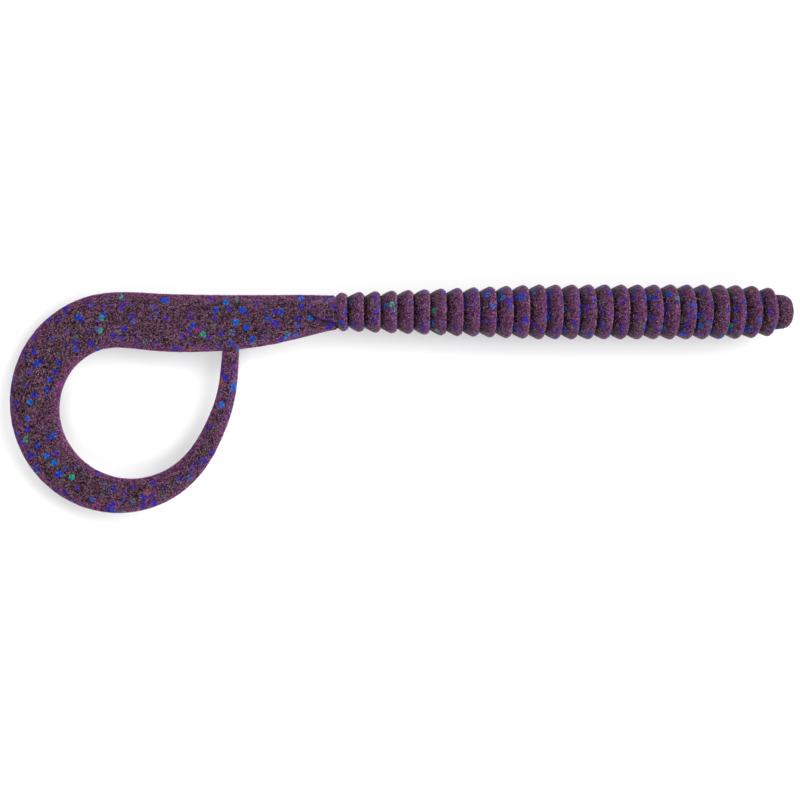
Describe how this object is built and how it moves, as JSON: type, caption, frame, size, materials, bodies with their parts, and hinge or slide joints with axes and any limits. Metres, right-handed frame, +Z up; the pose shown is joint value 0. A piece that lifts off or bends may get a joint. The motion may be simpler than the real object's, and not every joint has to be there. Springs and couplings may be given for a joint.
{
  "type": "soft plastic worm",
  "caption": "Ribbed round soft fishing worm with a blunt nose, a tapering body and a flat ribbon tail curled into a loop; bends along its body and tail.",
  "frame": {"origin": "centre of the flat nose face, on the body axis", "axes": "+X out of the nose, so the body runs towards -X; the tail curls in the XY plane towards -Y; +Z up, square to the flat of the tail"},
  "size_m": [0.1242, 0.0364, 0.0086],
  "materials": {
    "plastisol": "satin"
  },
  "bodies": {
    "head_plug": {"head_plug": "plastisol"},
    "rib_01": {"rib_01": "plastisol"},
    "rib_02": {"rib_02": "plastisol"},
    "rib_03": {"rib_03": "plastisol"},
    "rib_04": {"rib_04": "plastisol"},
    "rib_05": {"rib_05": "plastisol"},
    "rib_06": {"rib_06": "plastisol"},
    "rib_07": {"rib_07": "plastisol"},
    "rib_08": {"rib_08": "plastisol"},
    "rib_09": {"rib_09": "plastisol"},
    "rib_10": {"rib_10": "plastisol"},
    "rib_11": {"rib_11": "plastisol"},
    "rib_12": {"rib_12": "plastisol"},
    "rib_13": {"rib_13": "plastisol"},
    "rib_14": {"rib_14": "plastisol"},
    "rib_15": {"rib_15": "plastisol"},
    "rib_16": {"rib_16": "plastisol"},
    "rib_17": {"rib_17": "plastisol"},
    "rib_18": {"rib_18": "plastisol"},
    "rib_19": {"rib_19": "plastisol"},
    "rib_20": {"rib_20": "plastisol"},
    "rib_21": {"rib_21": "plastisol"},
    "rib_22": {"rib_22": "plastisol"},
    "rib_23": {"rib_23": "plastisol"},
    "rib_24": {"rib_24": "plastisol"},
    "rib_25": {"rib_25": "plastisol"},
    "rib_26": {"rib_26": "plastisol"},
    "tail_root": {"tail_root": "plastisol"},
    "tail_01": {"tail_01": "plastisol"},
    "tail_02": {"tail_02": "plastisol"},
    "tail_03": {"tail_03": "plastisol"},
    "tail_04": {"tail_04": "plastisol"},
    "tail_05": {"tail_05": "plastisol"},
    "tail_06": {"tail_06": "plastisol"},
    "tail_07": {"tail_07": "plastisol"},
    "tail_08": {"tail_08": "plastisol"},
    "tail_09": {"tail_09": "plastisol"},
    "tail_10": {"tail_10": "plastisol"},
    "tail_11": {"tail_11": "plastisol"},
    "tail_12": {"tail_12": "plastisol"},
    "tail_13": {"tail_13": "plastisol"},
    "tail_14": {"tail_14": "plastisol"},
    "tail_15": {"tail_15": "plastisol"},
    "tail_16": {"tail_16": "plastisol"},
    "tail_17": {"tail_17": "plastisol"},
    "tail_18": {"tail_18": "plastisol"},
    "tail_19": {"tail_19": "plastisol"},
    "tail_20": {"tail_20": "plastisol"}
  },
  "joints": [
    {"name": "side_bend_01", "type": "hinge", "parent": "rib_01", "child": "head_plug", "pos_m": [-0.00279, 0, 0], "axis": [0, 0.0175, 0.9998], "range_deg": [-8, 8]},
    {"name": "lift_bend_02", "type": "hinge", "parent": "rib_02", "child": "rib_01", "pos_m": [-0.00539, 0, 0], "axis": [0, 0.9998, -0.0175], "range_deg": [-8, 8]},
    {"name": "side_bend_03", "type": "hinge", "parent": "rib_03", "child": "rib_02", "pos_m": [-0.00799, 0, 0], "axis": [0, 0.0175, 0.9998], "range_deg": [-8, 8]},
    {"name": "lift_bend_04", "type": "hinge", "parent": "rib_04", "child": "rib_03", "pos_m": [-0.01059, 0, 0], "axis": [0, 0.9998, -0.0175], "range_deg": [-8, 8]},
    {"name": "side_bend_05", "type": "hinge", "parent": "rib_05", "child": "rib_04", "pos_m": [-0.01319, 0, 0], "axis": [0, 0.0175, 0.9998], "range_deg": [-8, 8]},
    {"name": "lift_bend_06", "type": "hinge", "parent": "rib_06", "child": "rib_05", "pos_m": [-0.01579, 0, 0], "axis": [0, 0.9998, -0.0175], "range_deg": [-8, 8]},
    {"name": "side_bend_07", "type": "hinge", "parent": "rib_07", "child": "rib_06", "pos_m": [-0.01839, 0, 0], "axis": [0, 0.0175, 0.9998], "range_deg": [-8, 8]},
    {"name": "lift_bend_08", "type": "hinge", "parent": "rib_08", "child": "rib_07", "pos_m": [-0.02099, 0, 0], "axis": [0, 0.9998, -0.0175], "range_deg": [-8, 8]},
    {"name": "side_bend_09", "type": "hinge", "parent": "rib_09", "child": "rib_08", "pos_m": [-0.02359, 0, 0], "axis": [0, 0.0175, 0.9998], "range_deg": [-8, 8]},
    {"name": "lift_bend_10", "type": "hinge", "parent": "rib_10", "child": "rib_09", "pos_m": [-0.02619, 0, 0], "axis": [0, 0.9998, -0.0175], "range_deg": [-8, 8]},
    {"name": "side_bend_11", "type": "hinge", "parent": "rib_11", "child": "rib_10", "pos_m": [-0.02879, 0, 0], "axis": [0, 0.0175, 0.9998], "range_deg": [-8, 8]},
    {"name": "lift_bend_12", "type": "hinge", "parent": "rib_12", "child": "rib_11", "pos_m": [-0.03139, 0, 0], "axis": [0, 0.9998, -0.0175], "range_deg": [-8, 8]},
    {"name": "side_bend_13", "type": "hinge", "parent": "rib_13", "child": "rib_12", "pos_m": [-0.03399, 0, 0], "axis": [0, 0.0175, 0.9998], "range_deg": [-8, 8]},
    {"name": "lift_bend_14", "type": "hinge", "parent": "rib_13", "child": "rib_14", "pos_m": [-0.03659, 0, 0], "axis": [0, 0.9998, -0.0175], "range_deg": [-8, 8]},
    {"name": "side_bend_15", "type": "hinge", "parent": "rib_14", "child": "rib_15", "pos_m": [-0.03919, 0, 0], "axis": [0, 0.0175, 0.9998], "range_deg": [-8, 8]},
    {"name": "lift_bend_16", "type": "hinge", "parent": "rib_15", "child": "rib_16", "pos_m": [-0.04179, 0, 0], "axis": [0, 0.9998, -0.0175], "range_deg": [-8, 8]},
    {"name": "side_bend_17", "type": "hinge", "parent": "rib_16", "child": "rib_17", "pos_m": [-0.04439, 0, 0], "axis": [0, 0.0175, 0.9998], "range_deg": [-8, 8]},
    {"name": "lift_bend_18", "type": "hinge", "parent": "rib_17", "child": "rib_18", "pos_m": [-0.04699, 0, 0], "axis": [0, 0.9998, -0.0175], "range_deg": [-8, 8]},
    {"name": "side_bend_19", "type": "hinge", "parent": "rib_18", "child": "rib_19", "pos_m": [-0.04959, 0, 0], "axis": [0, 0.0175, 0.9998], "range_deg": [-8, 8]},
    {"name": "lift_bend_20", "type": "hinge", "parent": "rib_19", "child": "rib_20", "pos_m": [-0.05219, 0, 0], "axis": [0, 0.9998, -0.0175], "range_deg": [-8, 8]},
    {"name": "side_bend_21", "type": "hinge", "parent": "rib_20", "child": "rib_21", "pos_m": [-0.05479, 0, 0], "axis": [0, 0.0175, 0.9998], "range_deg": [-8, 8]},
    {"name": "lift_bend_22", "type": "hinge", "parent": "rib_21", "child": "rib_22", "pos_m": [-0.05739, 0, 0], "axis": [0, 0.9998, -0.0175], "range_deg": [-8, 8]},
    {"name": "side_bend_23", "type": "hinge", "parent": "rib_22", "child": "rib_23", "pos_m": [-0.05999, 0, 0], "axis": [0, 0.0175, 0.9998], "range_deg": [-8, 8]},
    {"name": "lift_bend_24", "type": "hinge", "parent": "rib_23", "child": "rib_24", "pos_m": [-0.06259, 0, 0], "axis": [0, 0.9998, -0.0175], "range_deg": [-8, 8]},
    {"name": "side_bend_25", "type": "hinge", "parent": "rib_24", "child": "rib_25", "pos_m": [-0.06519, 0, 0], "axis": [0, 0.0175, 0.9998], "range_deg": [-8, 8]},
    {"name": "lift_bend_26", "type": "hinge", "parent": "rib_25", "child": "rib_26", "pos_m": [-0.06779, 0, 0], "axis": [0, 0.9998, -0.0175], "range_deg": [-8, 8]},
    {"name": "side_bend_27", "type": "hinge", "parent": "rib_26", "child": "tail_root", "pos_m": [-0.07039, 0, 0], "axis": [0, 0.0175, 0.9998], "range_deg": [-8, 8]},
    {"name": "flap_01", "type": "hinge", "parent": "tail_root", "child": "tail_01", "pos_m": [-0.08102, -0.00104, 0], "axis": [0.1145, -0.9934, 0], "range_deg": [-10, 10]},
    {"name": "flap_02", "type": "hinge", "parent": "tail_01", "child": "tail_02", "pos_m": [-0.0859, -0.0015, 0], "axis": [0.0727, -0.9974, 0], "range_deg": [-10, 10]},
    {"name": "flap_03", "type": "hinge", "parent": "tail_02", "child": "tail_03", "pos_m": [-0.09079, -0.00176, 0], "axis": [0.0307, -0.9995, 0], "range_deg": [-10, 10]},
    {"name": "flap_04", "type": "hinge", "parent": "tail_03", "child": "tail_04", "pos_m": [-0.09569, -0.0018, 0], "axis": [-0.0113, -0.9999, 0], "range_deg": [-10, 10]},
    {"name": "flap_05", "type": "hinge", "parent": "tail_04", "child": "tail_05", "pos_m": [-0.10059, -0.00165, 0], "axis": [-0.0533, -0.9986, 0], "range_deg": [-10, 10]},
    {"name": "uncurl_06", "type": "hinge", "parent": "tail_05", "child": "tail_06", "pos_m": [-0.10548, -0.00128, 0], "axis": [0, 0, -1], "range_deg": [0, 22]},
    {"name": "uncurl_07", "type": "hinge", "parent": "tail_06", "child": "tail_07", "pos_m": [-0.11033, -0.00168, 0], "axis": [0, 0, -1], "range_deg": [0, 22]},
    {"name": "flap_08", "type": "hinge", "parent": "tail_07", "child": "tail_08", "pos_m": [-0.11472, -0.0038, 0], "axis": [0.5943, -0.8042, 0], "range_deg": [-10, 10]},
    {"name": "uncurl_09", "type": "hinge", "parent": "tail_08", "child": "tail_09", "pos_m": [-0.11803, -0.00737, 0], "axis": [0, 0, -1], "range_deg": [0, 22]},
    {"name": "uncurl_10", "type": "hinge", "parent": "tail_09", "child": "tail_10", "pos_m": [-0.11986, -0.01189, 0], "axis": [0, 0, -1], "range_deg": [0, 22]},
    {"name": "flap_11", "type": "hinge", "parent": "tail_10", "child": "tail_11", "pos_m": [-0.12004, -0.01677, 0], "axis": [0.9912, 0.1324, 0], "range_deg": [-10, 10]},
    {"name": "uncurl_12", "type": "hinge", "parent": "tail_11", "child": "tail_12", "pos_m": [-0.11858, -0.02142, 0], "axis": [0, 0, -1], "range_deg": [0, 22]},
    {"name": "uncurl_13", "type": "hinge", "parent": "tail_12", "child": "tail_13", "pos_m": [-0.11565, -0.02531, 0], "axis": [0, 0, -1], "range_deg": [0, 22]},
    {"name": "flap_14", "type": "hinge", "parent": "tail_13", "child": "tail_14", "pos_m": [-0.11158, -0.028, 0], "axis": [0.4006, 0.9163, 0], "range_deg": [-10, 10]},
    {"name": "uncurl_15", "type": "hinge", "parent": "tail_14", "child": "tail_15", "pos_m": [-0.10684, -0.02916, 0], "axis": [0, 0, -1], "range_deg": [0, 22]},
    {"name": "uncurl_16", "type": "hinge", "parent": "tail_15", "child": "tail_16", "pos_m": [-0.10199, -0.02867, 0], "axis": [0, 0, -1], "range_deg": [0, 22]},
    {"name": "flap_17", "type": "hinge", "parent": "tail_16", "child": "tail_17", "pos_m": [-0.09759, -0.02658, 0], "axis": [-0.5759, 0.8175, 0], "range_deg": [-10, 10]},
    {"name": "uncurl_18", "type": "hinge", "parent": "tail_17", "child": "tail_18", "pos_m": [-0.09414, -0.02314, 0], "axis": [0, 0, -1], "range_deg": [0, 22]},
    {"name": "uncurl_19", "type": "hinge", "parent": "tail_18", "child": "tail_19", "pos_m": [-0.09172, -0.01888, 0], "axis": [0, 0, -1], "range_deg": [0, 22]},
    {"name": "flap_20", "type": "hinge", "parent": "tail_19", "child": "tail_20", "pos_m": [-0.09001, -0.01429, 0], "axis": [-0.9615, 0.2748, 0], "range_deg": [-10, 10]}
  ],
  "couplings": [
    {"joint": "side_bend_01", "follows": "side_bend_15", "ratio": -1},
    {"joint": "lift_bend_02", "follows": "lift_bend_14", "ratio": -1},
    {"joint": "side_bend_03", "follows": "side_bend_15", "ratio": -1},
    {"joint": "lift_bend_04", "follows": "lift_bend_14", "ratio": -1},
    {"joint": "side_bend_05", "follows": "side_bend_15", "ratio": -1},
    {"joint": "lift_bend_06", "follows": "lift_bend_14", "ratio": -1},
    {"joint": "side_bend_07", "follows": "side_bend_15", "ratio": -1},
    {"joint": "lift_bend_08", "follows": "lift_bend_14", "ratio": -1},
    {"joint": "side_bend_09", "follows": "side_bend_15", "ratio": -1},
    {"joint": "lift_bend_10", "follows": "lift_bend_14", "ratio": -1},
    {"joint": "side_bend_11", "follows": "side_bend_15", "ratio": -1},
    {"joint": "lift_bend_12", "follows": "lift_bend_14", "ratio": -1},
    {"joint": "side_bend_13", "follows": "side_bend_15", "ratio": -1},
    {"joint": "lift_bend_16", "follows": "lift_bend_14", "ratio": 1},
    {"joint": "side_bend_17", "follows": "side_bend_15", "ratio": 1},
    {"joint": "lift_bend_18", "follows": "lift_bend_14", "ratio": 1},
    {"joint": "side_bend_19", "follows": "side_bend_15", "ratio": 1},
    {"joint": "lift_bend_20", "follows": "lift_bend_14", "ratio": 1},
    {"joint": "side_bend_21", "follows": "side_bend_15", "ratio": 1},
    {"joint": "lift_bend_22", "follows": "lift_bend_14", "ratio": 1},
    {"joint": "side_bend_23", "follows": "side_bend_15", "ratio": 1},
    {"joint": "lift_bend_24", "follows": "lift_bend_14", "ratio": 1},
    {"joint": "side_bend_25", "follows": "side_bend_15", "ratio": 1},
    {"joint": "lift_bend_26", "follows": "lift_bend_14", "ratio": 1},
    {"joint": "side_bend_27", "follows": "side_bend_15", "ratio": 1},
    {"joint": "flap_02", "follows": "flap_01", "ratio": 1},
    {"joint": "flap_03", "follows": "flap_01", "ratio": 1},
    {"joint": "flap_04", "follows": "flap_01", "ratio": 1},
    {"joint": "flap_05", "follows": "flap_01", "ratio": 1},
    {"joint": "uncurl_07", "follows": "uncurl_06", "ratio": 1},
    {"joint": "flap_08", "follows": "flap_01", "ratio": 1},
    {"joint": "uncurl_09", "follows": "uncurl_06", "ratio": 1},
    {"joint": "uncurl_10", "follows": "uncurl_06", "ratio": 1},
    {"joint": "flap_11", "follows": "flap_01", "ratio": 1},
    {"joint": "uncurl_12", "follows": "uncurl_06", "ratio": 1},
    {"joint": "uncurl_13", "follows": "uncurl_06", "ratio": 1},
    {"joint": "flap_14", "follows": "flap_01", "ratio": -1},
    {"joint": "uncurl_15", "follows": "uncurl_06", "ratio": 1},
    {"joint": "uncurl_16", "follows": "uncurl_06", "ratio": 1},
    {"joint": "flap_17", "follows": "flap_01", "ratio": -1},
    {"joint": "uncurl_18", "follows": "uncurl_06", "ratio": 1},
    {"joint": "uncurl_19", "follows": "uncurl_06", "ratio": 1},
    {"joint": "flap_20", "follows": "flap_01", "ratio": -1}
  ]
}
